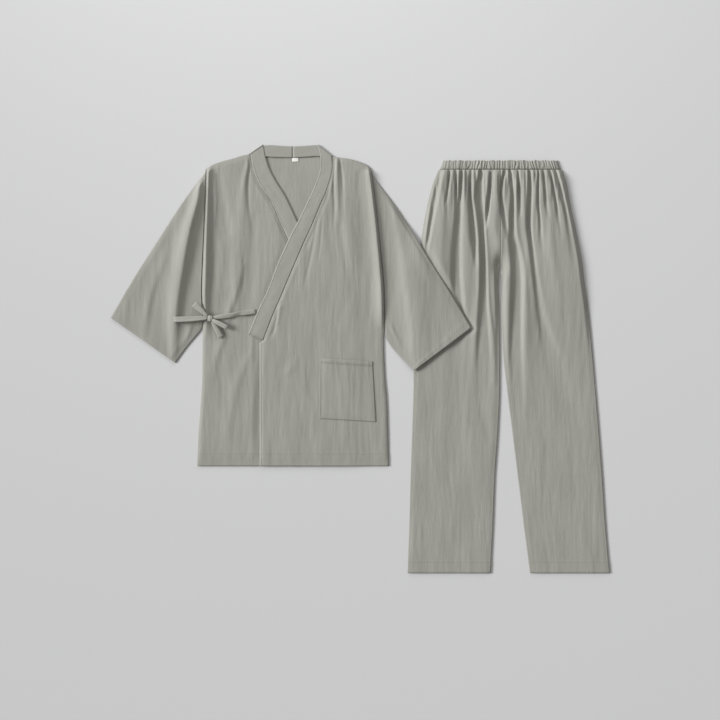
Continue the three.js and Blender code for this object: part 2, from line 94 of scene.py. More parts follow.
def smoothPath(rows, steps):  # a curve through rows of numbers, with so many steps between each two
    p = np.array(rows, float)
    p = np.vstack([2 * p[0] - p[1], p, 2 * p[-1] - p[-2]])
    t = np.linspace(0, 1, steps, endpoint=False)[:, None]
    parts = [
        0.5 * (2 * b + (c - a) * t + (2 * a - 5 * b + 4 * c - d) * t**2 + (3 * b - a - 3 * c + d) * t**3)
        for a, b, c, d in zip(p, p[1:], p[2:], p[3:])
    ]
    return np.vstack(parts + [p[-2][None]])


def noise(x, y, cellX, cellY, seed):  # smooth random values from -1 to 1, the same on each run
    size = 256
    grid = np.random.default_rng(seed).uniform(-1, 1, (size, size))
    gx, gy = x / cellX, y / cellY
    ix, iy = np.floor(gx).astype(int), np.floor(gy).astype(int)
    fx, fy = gx - ix, gy - iy
    fx, fy = fx * fx * (3 - 2 * fx), fy * fy * (3 - 2 * fy)

    def corner(j, i):
        return grid[(iy + j) % size, (ix + i) % size]

    return mix(mix(corner(0, 0), corner(0, 1), fx), mix(corner(1, 0), corner(1, 1), fx), fy)


def foldField(folds, x, y, sharpness=2.0):
    # The height that folds add. A fold is a path: x, y, width on its -x side, on its +x side, height.
    total = np.zeros_like(x)
    for fold in folds:
        path = smoothPath(fold, 5)
        best = np.full(x.shape, 1e9)
        height = np.zeros_like(x)
        for a, b in zip(path, path[1:]):
            d = b[:2] - a[:2]
            s = np.clip(((x - a[0]) * d[0] + (y - a[1]) * d[1]) / (d @ d), 0, 1)
            dx, dy = x - a[0] - s * d[0], y - a[1] - s * d[1]
            distance = np.hypot(dx, dy)
            near = distance < best
            best = np.where(near, distance, best)
            left, right, high = (mix(a[k], b[k], s) for k in (2, 3, 4))
            width = np.where(dx < 0, left, right)
            height = np.where(near, high * np.exp(-((distance / width) ** sharpness)), height)
        total += height
    return total


def atLeast(low, value, softness=0.6):  # value, kept above low with a soft corner
    return low + softness * np.logaddexp(0, (value - low) / softness)


def newObject(name, mesh, material):
    piece = bpy.data.objects.new(name, mesh)
    scene.collection.objects.link(piece)
    if material:
        mesh.materials.clear()
        mesh.materials.append(material)
    return piece


def addCloth(name, points, cloth, wall, at, material, around=False, runsRound=False):
    # A wall of cloth under a grid of points, rows by columns. cloth is each point's place on the flat cut.
    rows, columns = points.shape[:2]
    wrapped = np.concatenate([points[:, -1:], points, points[:, :1]], 1) if around else points
    du = np.gradient(wrapped, axis=1)
    du = du[:, 1:-1] if around else du
    dv = np.gradient(points, axis=0)
    normal = np.cross(du, dv)
    normal /= np.linalg.norm(normal, axis=2, keepdims=True)
    inner = points - normal * wall
    count = rows * columns
    index = np.arange(count).reshape(rows, columns)
    if around:
        index = np.concatenate([index, index[:, :1]], 1)
    a, b, c, d = index[:-1, :-1], index[:-1, 1:], index[1:, 1:], index[1:, :-1]
    outside = np.stack([a, b, c, d], -1).reshape(-1, 4)
    inside = np.stack([a, d, c, b], -1).reshape(-1, 4) + count

    def rimAlong(start, end):  # the faces between the two sides of the wall
        return np.stack([start + count, end + count, end, start], -1)

    rims = [rimAlong(index[0, :-1], index[0, 1:]), rimAlong(index[-1, 1:], index[-1, :-1])]
    if not around:
        rims += [rimAlong(index[1:, 0], index[:-1, 0]), rimAlong(index[:-1, -1], index[1:, -1])]
    rim = np.concatenate(rims)
    faces = np.concatenate([outside, inside, rim])
    place = (np.concatenate([points.reshape(-1, 3), inner.reshape(-1, 3)]) + at) / 1000
    mesh = bpy.data.meshes.new(name)
    mesh.from_pydata(place, [], faces.tolist())
    smooth = np.ones(len(faces), bool)
    smooth[-len(rim):] = False
    mesh.polygons.foreach_set("use_smooth", smooth)
    layer = mesh.uv_layers.new(name="cloth")
    flat = np.concatenate([cloth.reshape(-1, 2)] * 2) / 1000
    if runsRound:  # the last column of faces ends a whole turn on, so that the cloth doesn't run back
        turn = flat[:count].reshape(rows, columns, 2)
        width = turn[:, -1] + (turn[:, -1] - turn[:, -2])
    corners = flat[faces.reshape(-1)]
    if runsRound:
        isLast = (faces % columns == columns - 1).any(1) & (faces % columns == 0).any(1)
        cornerLast = np.repeat(isLast, 4) & (faces.reshape(-1) % columns == 0)
        corners[cornerLast] = width[(faces.reshape(-1)[cornerLast] % count) // columns]
    layer.data.foreach_set("uv", corners.reshape(-1))
    mesh.update()
    return newObject(name, mesh, material)


def addSheet(name, x, y, z, wall, at, material):  # cloth that lies as it was cut
    return addCloth(name, np.stack([x, y, z], 2), np.stack([x, y], 2), wall, at, material)


def finishPiece(piece, *nodes, slot="cotton"):
    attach(piece, "root")
    if nodes:
        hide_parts(*nodes)
    return piece


def node(tree, kind, **values):
    made = tree.nodes.new(kind)
    for name, value in values.items():
        if name in made.inputs:
            made.inputs[name].default_value = value
        else:
            setattr(made, name, value)
    return made


def crinkledWeaveGroup():
    # Colour share, roughness and height of crinkled plain-weave cotton, by place on the flat cloth. The
    # colour share holds painted shade: where crinkles and thread crossings rise the colour is lighter, and
    # in their hollows it is darker.
    group = bpy.data.node_groups.new("crinkledWeave", "ShaderNodeTree")
    sockets = group.interface
    sockets.new_socket("Cloth", in_out="INPUT", socket_type="NodeSocketVector")
    for name, value in (("Thread Pitch", 0.0007), ("Crinkle Width", 0.006), ("Crinkle Length", 0.05)):
        sockets.new_socket(name, in_out="INPUT", socket_type="NodeSocketFloat").default_value = value
    for name in ("Shade", "Height", "Roughness"):
        sockets.new_socket(name, in_out="OUTPUT", socket_type="NodeSocketFloat")
    begin, end = group.nodes.new("NodeGroupInput"), group.nodes.new("NodeGroupOutput")
    link = group.links.new

    def combine(operation, a, b):
        made = group.nodes.new("ShaderNodeMath")
        made.operation = operation
        for socket, value in zip(made.inputs, (a, b)):
            if isinstance(value, (int, float)):
                socket.default_value = value
            else:
                link(value, socket)
        return made.outputs[0]

    def stretched(width, length):  # the cloth's place in cells of that width and length
        split = group.nodes.new("ShaderNodeSeparateXYZ")
        joined = group.nodes.new("ShaderNodeCombineXYZ")
        link(begin.outputs["Cloth"], split.inputs[0])
        link(combine("DIVIDE", split.outputs[0], width), joined.inputs[0])
        link(combine("DIVIDE", split.outputs[1], length), joined.inputs[1])
        return joined.outputs[0], split

    cells, split = stretched(begin.outputs["Crinkle Width"], begin.outputs["Crinkle Length"])
    crinkle = node(group, "ShaderNodeTexNoise", Scale=1.0, Detail=3.0, Roughness=0.55, Distortion=0.6)
    link(cells, crinkle.inputs["Vector"])
    slubCells, _ = stretched(0.0022, 0.035)
    slub = node(group, "ShaderNodeTexNoise", Scale=1.0, Detail=2.0, Roughness=0.5)
    link(slubCells, slub.inputs["Vector"])
    blotchCells, _ = stretched(0.035, 0.17)
    blotch = node(group, "ShaderNodeTexNoise", Scale=1.0, Detail=1.0)
    link(blotchCells, blotch.inputs["Vector"])
    turn = combine("DIVIDE", 2 * math.pi, begin.outputs["Thread Pitch"])
    warp = combine("SINE", combine("MULTIPLY", split.outputs[0], turn), 0.0)
    weft = combine("SINE", combine("MULTIPLY", split.outputs[1], turn), 0.0)
    weave = combine("MULTIPLY", warp, weft)

    def part(source, share):
        return combine("MULTIPLY", source, share)

    crinkleFac, slubFac, blotchFac = (made.outputs["Fac"] for made in (crinkle, slub, blotch))
    # painted shade: the crinkle and weave heights also lighten the colour on their crests and darken it in
    # their hollows; slubs and blotches are the cloth's own tone
    shade = combine("ADD", part(slubFac, 0.35), part(blotchFac, 0.5))
    shade = combine("ADD", shade, part(crinkleFac, 0.15))
    link(combine("ADD", shade, part(weave, 0.03)), end.inputs["Shade"])
    height = combine("ADD", part(crinkleFac, 0.75), part(slubFac, 0.22))
    link(combine("ADD", height, part(weave, 0.03)), end.inputs["Height"])
    link(combine("ADD", 0.84, part(slubFac, 0.16)), end.inputs["Roughness"])
    return group


crinkledWeave = crinkledWeaveGroup()


# dark and light are the ends of the cotton's colour; a crinkle's sizes are in metres.
clothLooks = {
    "greyCotton": {
        "dark": (0.300, 0.299, 0.268), "light": (0.390, 0.388, 0.358),
        "width": 0.008, "length": 0.06, "depth": 0.0008, "sheen": 0.12,
    },
    "collarCotton": {
        "dark": (0.315, 0.314, 0.285), "light": (0.385, 0.383, 0.352),
        "width": 0.012, "length": 0.03, "depth": 0.0006, "sheen": 0.12,
    },
    "tieCotton": {
        "dark": (0.36, 0.358, 0.325), "light": (0.45, 0.447, 0.41),
        "width": 0.005, "length": 0.02, "depth": 0.0006, "sheen": 0.12,
    },
    "labelTape": {
        "dark": (0.80, 0.80, 0.78), "light": (0.88, 0.88, 0.86),
        "width": 0.002, "length": 0.02, "depth": 0.0002, "sheen": 0.05,
    },
    "sewingThread": {
        "dark": (0.30, 0.298, 0.262), "light": (0.38, 0.378, 0.334),
        "width": 0.001, "length": 0.004, "depth": 0.0001, "sheen": 0.1,
    },
}


def clothMaterial(name):
    look = clothLooks[name]
    material = bpy.data.materials.new(name)
    material.use_nodes = True
    tree = material.node_tree
    link = tree.links.new
    shader = tree.nodes["Principled BSDF"]
    shader.inputs["Specular IOR Level"].default_value = 0.25
    shader.inputs["Sheen Weight"].default_value = look["sheen"]
    shader.inputs["Sheen Roughness"].default_value = 0.6
    place = node(tree, "ShaderNodeUVMap", uv_map="cloth")
    weave = node(tree, "ShaderNodeGroup", node_tree=crinkledWeave)
    weave.inputs["Crinkle Width"].default_value = look["width"]
    weave.inputs["Crinkle Length"].default_value = look["length"]
    link(place.outputs[0], weave.inputs["Cloth"])
    ramp = node(tree, "ShaderNodeValToRGB")
    low, high = ramp.color_ramp.elements
    low.position, high.position = 0.28, 0.72
    low.color, high.color = (*look["dark"], 1), (*look["light"], 1)
    link(weave.outputs["Shade"], ramp.inputs[0])
    link(ramp.outputs[0], shader.inputs["Base Color"])
    link(weave.outputs["Roughness"], shader.inputs["Roughness"])
    bump = node(tree, "ShaderNodeBump", Strength=1.0, Distance=look["depth"])
    link(weave.outputs["Height"], bump.inputs["Height"])
    link(bump.outputs[0], shader.inputs["Normal"])
    return material


greyCotton = clothMaterial("greyCotton")
collarCotton = clothMaterial("collarCotton")
tieCotton = clothMaterial("tieCotton")
labelTape = clothMaterial("labelTape")
sewingThread = clothMaterial("sewingThread")
print("materials made")


def stitchRunTree():
    # Lays a small raised stitch every Spacing along each line of the mesh.
    tree = bpy.data.node_groups.new("stitchRun", "GeometryNodeTree")
    face = tree.interface
    face.new_socket("Geometry", in_out="INPUT", socket_type="NodeSocketGeometry")
    for name, value in (("Spacing", 0.0032), ("Stitch Length", 0.0024), ("Thread Width", 0.0006)):
        face.new_socket(name, in_out="INPUT", socket_type="NodeSocketFloat").default_value = value
    face.new_socket("Thread", in_out="INPUT", socket_type="NodeSocketMaterial")
    face.new_socket("Geometry", in_out="OUTPUT", socket_type="NodeSocketGeometry")
    new, link = tree.nodes.new, tree.links.new
    begin, end = new("NodeGroupInput"), new("NodeGroupOutput")
    line, even = new("GeometryNodeMeshToCurve"), new("GeometryNodeResampleCurve")
    even.mode = "LENGTH"
    arc, ring = new("GeometryNodeCurveQuadraticBezier"), new("GeometryNodeCurvePrimitiveCircle")
    thread = new("GeometryNodeCurveToMesh")
    arc.inputs["Resolution"].default_value = 3
    ring.inputs["Resolution"].default_value = 5
    thread.inputs["Fill Caps"].default_value = True
    half, back, high, thin = (new("ShaderNodeMath") for _ in range(4))
    for made, factor, source in (
        (half, 0.5, "Stitch Length"), (back, -0.5, "Stitch Length"),
        (high, 1.0, "Thread Width"), (thin, 0.5, "Thread Width"),
    ):
        made.operation = "MULTIPLY"
        made.inputs[1].default_value = factor
        link(begin.outputs[source], made.inputs[0])
    for made, name in ((back, "Start"), (half, "End")):
        point = new("ShaderNodeCombineXYZ")
        link(made.outputs[0], point.inputs[0])
        link(point.outputs[0], arc.inputs[name])
    top = new("ShaderNodeCombineXYZ")
    link(high.outputs[0], top.inputs[2])
    link(top.outputs[0], arc.inputs["Middle"])
    link(thin.outputs[0], ring.inputs["Radius"])
    link(arc.outputs[0], thread.inputs["Curve"])
    link(ring.outputs[0], thread.inputs["Profile Curve"])
    tangent, turn = new("GeometryNodeInputTangent"), new("FunctionNodeAlignRotationToVector")
    turn.axis = "X"
    link(tangent.outputs[0], turn.inputs["Vector"])
    spread, real = new("GeometryNodeInstanceOnPoints"), new("GeometryNodeRealizeInstances")
    paint = new("GeometryNodeSetMaterial")
    link(begin.outputs["Geometry"], line.inputs[0])
    link(line.outputs[0], even.inputs["Curve"])
    link(begin.outputs["Spacing"], even.inputs["Length"])
    link(even.outputs[0], spread.inputs["Points"])
    link(thread.outputs[0], spread.inputs["Instance"])
    link(turn.outputs[0], spread.inputs["Rotation"])
    link(spread.outputs[0], real.inputs[0])
    link(real.outputs[0], paint.inputs["Geometry"])
    link(begin.outputs["Thread"], paint.inputs["Material"])
    link(paint.outputs[0], end.inputs[0])
    return tree


stitchRun = stitchRunTree()


sewingCut = {"lift": 0.15, "step": 2, "dropFrom": 0.2}  # millimetres, but dropFrom is in metres


def sewOn(name, runs, pieces, at):
    # Stitches along lines of x, y points, dropped onto the highest of the pieces below them.
    cut = sewingCut
    vertices, faces = [], []
    for piece in pieces:
        start = len(vertices)
        vertices += [v.co.copy() for v in piece.data.vertices]
        faces += [[start + i for i in p.vertices] for p in piece.data.polygons]
    ground = BVHTree.FromPolygons(vertices, faces)
    points, edges = [], []
    for run in runs:
        run = np.array(run, float)
        along = np.r_[0, np.cumsum(np.linalg.norm(np.diff(run, axis=0), axis=1))]
        steps = max(2, int(along[-1] / cut["step"]))
        stops = np.linspace(0, along[-1], steps)
        fine = np.stack([np.interp(stops, along, run[:, k]) for k in (0, 1)], 1)
        last = None
        for x, y in fine + at[:2]:
            hit = ground.ray_cast(Vector((x / 1000, y / 1000, cut["dropFrom"])), Vector((0, 0, -1)))[0]
            if hit is None:
                last = None
                continue
            points.append((hit.x, hit.y, hit.z + cut["lift"] / 1000))
            if last is not None:
                edges.append((last, len(points) - 1))
            last = len(points) - 1
    mesh = bpy.data.meshes.new(name + "Lines")
    mesh.from_pydata(points, edges, [])
    lines = newObject(name + "Lines", mesh, None)
    modifier = lines.modifiers.new("stitches", "NODES")
    modifier.node_group = stitchRun
    for item in stitchRun.interface.items_tree:
        if item.in_out == "INPUT" and item.name == "Thread":
            modifier[item.identifier] = sewingThread
    bpy.context.view_layer.update()
    graph = bpy.context.evaluated_depsgraph_get()
    made = bpy.data.meshes.new_from_object(lines.evaluated_get(graph), depsgraph=graph)
    bpy.data.objects.remove(lines)
    layer = made.uv_layers.new(name="cloth")
    place = np.zeros(len(made.vertices) * 3)
    made.vertices.foreach_get("co", place)
    corner = np.zeros(len(made.loops), int)
    made.loops.foreach_get("vertex_index", corner)
    layer.data.foreach_set("uv", place.reshape(-1, 3)[corner][:, :2].reshape(-1))
    made.name = name
    return finishPiece(newObject(name, made, sewingThread))


trousersCut = {
    "wall": 0.8, "rise": 746, "bandFoot": 968, "bandTop": 990, "seamGap": 0.25,
    "frontFoot": 2.2,  # height of the front's upper face where it lies flat
    "lowLoft": 1.3, "highLoft": 10.5,  # how far the cloth stands up, at the hems and under the waistband
    "valleyDepth": 1.45, "gatherDepth": 3.2, "crotchDepth": 14, "pressed": 0.4,
    "hemDepth": 26, "hemStep": 0.5, "seamRound": 12,
    "frontColumns": 92, "frontRows": 236, "backColumns": 34, "backRows": 90,
}
legOutline = table("y outerRight innerRight innerLeft outerLeft", [
    [0, -223, -24, 71, 262],
    [115, -219, -18, 56, 252],
    [223, -216, -14, 43, 245],
    [343, -212, -6, 28, 236],
    [440, -209, -2, 16, 228],
    [535, -208, -1.5, 6, 220],
    [640, -205, -3, 2.5, 210],
    [706, -199, -5, 3, 201],
    [746, -196, -0.15, 0.15, 196],
    [820, -187, -0.15, 0.15, 182],
    [890, -174, -0.15, 0.15, 167],
    [935, -162, -0.15, 0.15, 159],
    [968, -148, -0.15, 0.15, 148],
])
legEdge = {name: between(legOutline, "y", name) for name in legOutline if name != "y"}

# Valleys between the gathers: x, y, width to the left, width to the right, depth.
trouserValleys = [
    [[-142, 966, 6, 4, -5], [-155, 907, 9, 5, -7], [-164, 859, 7, 5, -6], [-177, 780, 5, 4, -3],
     [-186, 740, 4, 4, 0]],
    [[-121, 966, 3, 2, -4], [-127, 915, 3, 2, -4], [-133, 880, 3, 3, 0]],
    [[-106, 966, 4, 2, -5], [-106, 905, 5, 3, -5], [-104, 860, 6, 5, -2]],
    [[-94, 966, 4, 4, -6], [-97, 895, 5, 4, -7], [-100, 840, 9, 6, -8], [-102, 760, 13, 7, -8],
     [-101, 690, 14, 8, -8], [-96, 630, 12, 8, -5], [-104, 540, 16, 14, -2.5],
     [-104, 400, 18, 14, -1.6], [-96, 200, 16, 14, 0]],
    [[-71, 966, 4, 3, -6], [-73, 919, 4, 3, -7], [-68, 868, 6, 4, -8], [-61, 805, 9, 4, -8],
     [-60, 770, 6, 3, -4], [-58, 730, 5, 4, 0]],
    [[-46, 966, 4, 3, -6], [-48, 915, 11, 5, -6], [-44, 870, 10, 4, -9], [-42, 820, 7, 4, -9],
     [-39, 740, 8, 5, -9], [-38, 650, 10, 6, -9], [-37, 560, 13, 9, -8.5], [-39, 480, 12, 10, -6],
     [-42, 400, 10, 10, -3], [-30, 320, 6, 8, -0.8]],
    [[-24, 960, 3, 3, -4], [-26, 910, 5, 3, -7], [-31, 862, 6, 3, -6], [-36, 824, 4, 3, 0]],
    [[10, 966, 4, 3, -6], [1, 915, 4, 4, -6], [6, 871, 6, 4, -7], [14, 830, 6, 4, -3],
     [18, 800, 6, 5, 0]],
    [[24, 966, 6, 3, -6], [30, 905, 5, 3, -8], [30, 850, 7, 4, -9], [31, 810, 9, 5, -9],
     [37, 770, 13, 8, -9], [43, 720, 16, 9, -9.5], [43, 650, 15, 8, -9.5], [41, 560, 13, 8, -9],
     [40, 500, 12, 9, -6.5], [44, 415, 12, 10, -3.5], [42, 300, 10, 10, -1], [38, 220, 8, 8, 0]],
    [[43, 962, 3, 2, -5], [45, 900, 4, 3, -5], [47, 850, 4, 4, 0]],
    [[70, 966, 5, 3, -7], [71, 895, 6, 4, -8], [69, 835, 6, 4, -7], [75, 780, 5, 4, -4],
     [86, 690, 6, 7, -3], [100, 600, 9, 12, -3], [122, 520, 16, 18, -2.4], [146, 430, 18, 18, -1.4],
     [158, 330, 16, 16, 0]],
    [[91, 966, 3, 2, -5], [91, 890, 3, 2, -5], [95, 840, 4, 3, -3], [100, 760, 8, 6, 0]],
    [[103, 966, 4, 2, -5], [108, 905, 4, 3, -4], [114, 850, 4, 4, 0]],
    [[119, 966, 4, 2, -5], [132, 898, 4, 2, -5], [139, 850, 4, 3, -1.5], [146, 800, 4, 4, 0]],
    [[133, 966, 5, 2, -5], [148, 907, 6, 3, -5], [158, 862, 5, 4, -3.5], [170, 790, 7, 8, -1.5],
     [182, 700, 8, 8, 0]],
]
# Rounded rolls of cloth between them.
trouserRolls = [
    [[-130, 950, 9, 7, 1], [-138, 860, 16, 8, 2.5], [-143, 780, 18, 12, 3], [-142, 690, 16, 14, 2.5],
     [-140, 600, 16, 16, 0]],
    [[-84, 950, 6, 6, 1], [-84, 880, 7, 6, 1.5], [-80, 800, 8, 8, 1], [-78, 700, 10, 10, 0.8],
     [-76, 560, 14, 14, 0]],
    [[-62, 940, 5, 5, 1], [-66, 890, 5, 5, 2], [-55, 800, 5, 4, 2.2], [-51, 700, 6, 4, 2.6],
     [-56, 620, 9, 5, 2.6], [-62, 540, 11, 7, 2], [-66, 440, 12, 12, 0.6]],
    [[-36, 930, 4, 4, 1], [-37, 850, 4, 4, 2], [-33, 750, 4, 4, 2], [-29, 650, 5, 4, 2.4],
     [-18, 560, 7, 5, 2], [-14, 460, 9, 8, 0.8]],
    [[-10, 900, 8, 8, 1.6], [-14, 830, 12, 10, 3], [-6, 790, 16, 12, 3], [-4, 750, 12, 10, 1]],
    [[20, 790, 8, 6, 2], [24, 720, 8, 6, 2.4], [20, 640, 8, 8, 2.4], [18, 560, 8, 9, 2],
     [20, 470, 9, 9, 0.6]],
    [[38, 940, 3, 3, 1.5], [36, 860, 4, 4, 2], [41, 800, 5, 5, 2], [56, 730, 6, 7, 2],
     [60, 650, 6, 9, 2.8], [60, 540, 8, 14, 2.4], [66, 420, 12, 16, 0.8]],
    [[58, 940, 7, 7, 1.5], [58, 840, 8, 7, 2], [66, 770, 7, 6, 1.6], [74, 690, 7, 6, 1]],
    [[122, 880, 8, 7, 1], [120, 800, 10, 9, 2], [132, 710, 14, 12, 1.4], [150, 600, 18, 16, 0]],
]


def legPlace(outer, inner, columns, rows):
    cut = trousersCut
    share = np.linspace(0, 1, rows)
    y = share * (cut["bandFoot"] - cut["seamGap"])
    a, b = legEdge[outer](y), legEdge[inner](y)
    low, high = np.minimum(a, b), np.maximum(a, b)
    u = np.linspace(0, 1, columns)
    x = low[:, None] + (high - low)[:, None] * u[None, :]
    return x, np.repeat(y[:, None], columns, 1)


def fromLegSeam(x, y):  # how far a place on the front is from the nearest seam
    right = x < 0
    outer = np.where(right, x - legEdge["outerRight"](y), legEdge["outerLeft"](y) - x)
    inner = np.where(right, legEdge["innerRight"](y) - x, x - legEdge["innerLeft"](y))
    return np.abs(outer), np.abs(inner)


def crinkles(x, y, seed, depth):  # soft crinkles, longer up the cloth than across it
    wander = 9 * noise(x, y, 60, 150, seed + 5)
    broad = noise(x + wander, y, 11, 95, seed)
    fine = noise(x + wander, y, 6, 48, seed + 1)
    across = noise(x, y, 45, 26, seed + 2)
    return depth * (0.6 * broad + 0.35 * fine + 0.22 * across)


def underSleeve(x, y):  # 1 where the jacket's left sleeve presses this leg flat
    inFold = (-202 * (x + 190) - 120 * (y - 790)) / math.hypot(202, 120)
    inCuff = (-103 * (x + 70) + 139 * (y - 588)) / math.hypot(103, 139)
    return ease(-16, 0, np.minimum(inFold, inCuff))


def trouserTop(x, y):  # the height of the front's upper face
    cut = trousersCut
    outer, inner = fromLegSeam(x, y)
    gathered = ease(470, 760, y)
    loft = mix(cut["lowLoft"], cut["highLoft"], gathered)
    valleys = cut["valleyDepth"] * foldField(trouserValleys, x, y, 2.4) * mix(0.7, 1.0, ease(330, 640, y))
    shape = atLeast(0.2, loft + foldField(trouserRolls, x, y) + valleys)
    fineGather = cut["gatherDepth"] * noise(x, y, 4.6, 46, 31) * ease(850, 950, y)
    shape += fineGather + crinkles(x, y, 11, 0.55)
    crotch = ease(cut["rise"] - 60, cut["rise"] - 8, y)
    reach = cut["seamRound"]
    seamOpen = ease(0, reach, outer) * np.maximum(ease(0, reach, inner), crotch)
    seamOpen *= ease(cut["bandFoot"] + 12, cut["bandFoot"] - 14, y) * 0.8 + 0.2
    hollow = cut["crotchDepth"] * np.exp(-((x / 13) ** 2) - ((y - 735) / 26) ** 2)
    shape = atLeast(0.1, shape * seamOpen - hollow * crotch)
    hem = cut["hemStep"] * ease(cut["hemDepth"] + 1.5, cut["hemDepth"] - 1.5, y)
    return cut["frontFoot"] + shape * mix(1, cut["pressed"], underSleeve(x, y)) + hem


def addTrousers():
    cut = trousersCut
    made = []
    for side in ("right", "left"):
        name = side.capitalize()
        x, y = legPlace("outer" + name, "inner" + name, cut["frontColumns"], cut["frontRows"])
        high = trouserTop(x, y)
        front = addSheet("trousersFront" + name, x, y, high, cut["wall"], trousersAt, greyCotton)
        x, y = legPlace("outer" + name, "inner" + name, cut["backColumns"], cut["backRows"])
        flat = np.full_like(x, cut["wall"])
        back = addSheet("trousersBack" + name, x, y, flat, cut["wall"], trousersAt, greyCotton)
        made.append((side, front, back))
    return made


trouserPieces = addTrousers()
print("trousers made")
for side, front, back in trouserPieces:
    finishPiece(front, "trousers_front_" + side)
    finishPiece(back, "trousers_back_" + side)

waistbandCut = {
    "topWidth": 275, "footWidth": 290, "wall": 0.7, "ruffles": 38, "depth": 5.0, "ruffle": 3.4,
    "frontFoot": 1.6, "clothPerRuffle": 13.5, "rows": 17, "backColumns": 75,
}


def addWaistband():
    cut, legs = waistbandCut, trousersCut
    across = cut["ruffles"] * 8 + 1
    v = np.linspace(0, 1, cut["rows"])[:, None]
    half = mix(cut["footWidth"], cut["topWidth"], v) / 2
    s = np.linspace(0, 1, across)[None, :]
    wander = 0.55 * noise(s * 400 + v * 0, v * 4, 9, 3, 71)
    phase = s * cut["ruffles"] + wander
    crest = np.abs(np.sin(math.pi * phase)) ** 0.7  # round crests and tight valleys
    size = 0.65 + 0.35 * noise(s * 400 + v * 0, v * 0, 14, 3, 72)
    sewn = ease(0.0, 0.16, v) * 0.85 + 0.15
    puff = np.sin(math.pi * (0.1 + 0.8 * v)) ** 0.6
    topEdge = 1.2 * noise(s * 400, v * 0, 7, 3, 73) * ease(0.6, 1, v)
    endRound = ease(0, 0.03, s) * ease(1, 0.97, s)
    swell = cut["depth"] * puff * 0.5 + 1.4 + cut["ruffle"] * crest * size * sewn
    high = cut["frontFoot"] + swell * (0.25 + 0.75 * endRound)
    level = mix(legs["bandFoot"], legs["bandTop"], v)
    y = level + topEdge
    x = mix(-1.0, 1.0, s) * half + 0.5 * np.sin(2 * math.pi * phase) * sewn
    front = np.stack([x + 0 * v, y + 0 * s, high + 0 * x], 2)
    backShare = np.linspace(0, 1, cut["backColumns"])[None, :]
    backX = np.linspace(1, -1, cut["backColumns"])[None, :] * half
    back = np.stack([backX, level + 0 * backX, 0.05 + 0 * backX], 2)
    ring = np.concatenate([front, back], 1)
    frontSpread = s * cut["ruffles"] * cut["clothPerRuffle"]
    backSpread = (cut["ruffles"] + backShare * cut["ruffles"]) * cut["clothPerRuffle"]
    spread = np.concatenate([frontSpread + 0 * v, backSpread + 0 * v], 1)
    cloth = np.stack([spread, np.repeat(level, ring.shape[1], 1)], 2)
    return addCloth(
        "waistband", ring, cloth, cut["wall"], trousersAt, greyCotton, around=True, runsRound=True
    )


waistband = finishPiece(addWaistband(), "waistband")
print("waistband made")

jacketCut = {
    "wall": 0.8, "layer": 1.3, "underlap": 3.9,  # the fronts' lower faces, plain and wrapped over
    "hemDepth": 29, "hemStep": 0.45, "seamRise": 1.1, "seamReach": 8,
    "frontEdgeRight": 82, "frontEdgeLeft": -80, "shoulderGap": 0.3, "aboveNeck": 999.0,
    "columns": 116, "rows": 240, "backColumns": 120, "backRows": 190,
}
bodyOutline = table("y right left", [
    [0, -230, 230], [62, -228, 229], [158, -221, 226], [218, -218, 221], [302, -217, 218], [340, -216, 221],
    [420, -220, 220], [500, -217, 213], [560, -214, 207], [640, -211, 198], [714, -208, 188],
])
bodyEdge = {side: between(bodyOutline, "y", side) for side in ("right", "left")}
topAt = between(table("x y", [
    [-208, 714], [-190, 725], [-151, 737], [-103, 748], [-62, 742], [0, 740],
    [65, 743], [94, 742], [130, 738], [170, 726], [188, 714],
]), "x", "y")

# The collar's rows, from the neck to the end of the band.
rightCollar = [  # free edge x, y; seamed edge x, y; height of its lower face
    [-65, 739, -98, 722, 2.4], [-55, 710, -89, 694, 2.1], [-38, 679, -72, 662, 1.8],
    [-18, 647, -50, 629, 1.5], [10, 588, -24, 571, 1.5], [36, 530, 2, 514, 1.5],
    [65, 458, 31, 444, 1.5], [91, 386, 55, 372, 1.5], [108, 326, 72, 314, 1.5],
]
leftCollar = [
    [66, 739, 95, 715, 2.6], [64, 706, 91, 691, 3.2], [50, 667, 79, 655, 3.9], [38, 641, 67, 629, 3.9],
    [13, 589, 43, 571, 3.9], [-6, 553, 26, 535, 3.9], [-36, 487, -2, 470, 3.9],
    [-61, 421, -28, 408, 3.9], [-84, 373, -48, 362, 3.9], [-107, 317, -71, 302, 3.9],
]


def openingLine(rows, edge, outward, neck):
    seam = sorted((r[3], r[2] + outward * 0.3) for r in rows)
    seam = [(0, edge), (seam[0][0] - 7, edge)] + seam + [(topAt(neck), neck)]
    at, x = np.array(seam).T
    return lambda y: np.interp(y, at, x)


openingAt = {
    "right": openingLine(rightCollar, jacketCut["frontEdgeRight"], -1, -104.3),
    "left": openingLine(leftCollar, jacketCut["frontEdgeLeft"], 1, 95.3),
}

rightFrontFolds = [
    [[-204, 712, 4, 9, 8], [-205, 640, 4, 8, 10], [-207, 560, 5, 8, 11], [-209, 470, 5, 9, 11],
     [-211, 400, 5, 9, 9], [-209, 345, 5, 9, 4], [-209, 300, 6, 9, 0]],
    [[-106, 738, 4, 7, 1.5], [-113, 700, 7, 6, 2.5], [-119, 660, 9, 8, 2.6], [-122, 600, 14, 12, 2],
     [-130, 520, 16, 12, 1.6], [-140, 440, 14, 12, 1.4]],
    [[-122, 480, 14, 7, 1.5], [-134, 425, 12, 7, 3], [-152, 370, 9, 8, 2.6], [-160, 340, 8, 8, 1]],
    [[-180, 560, 12, 8, 1.2], [-172, 500, 14, 10, 1.8], [-180, 430, 12, 10, 1.2],
     [-186, 380, 10, 10, 0]],
    [[-190, 700, 8, 6, 1], [-186, 640, 6, 5, 1.6], [-190, 560, 6, 6, 1.2], [-196, 470, 8, 8, 0]],
]
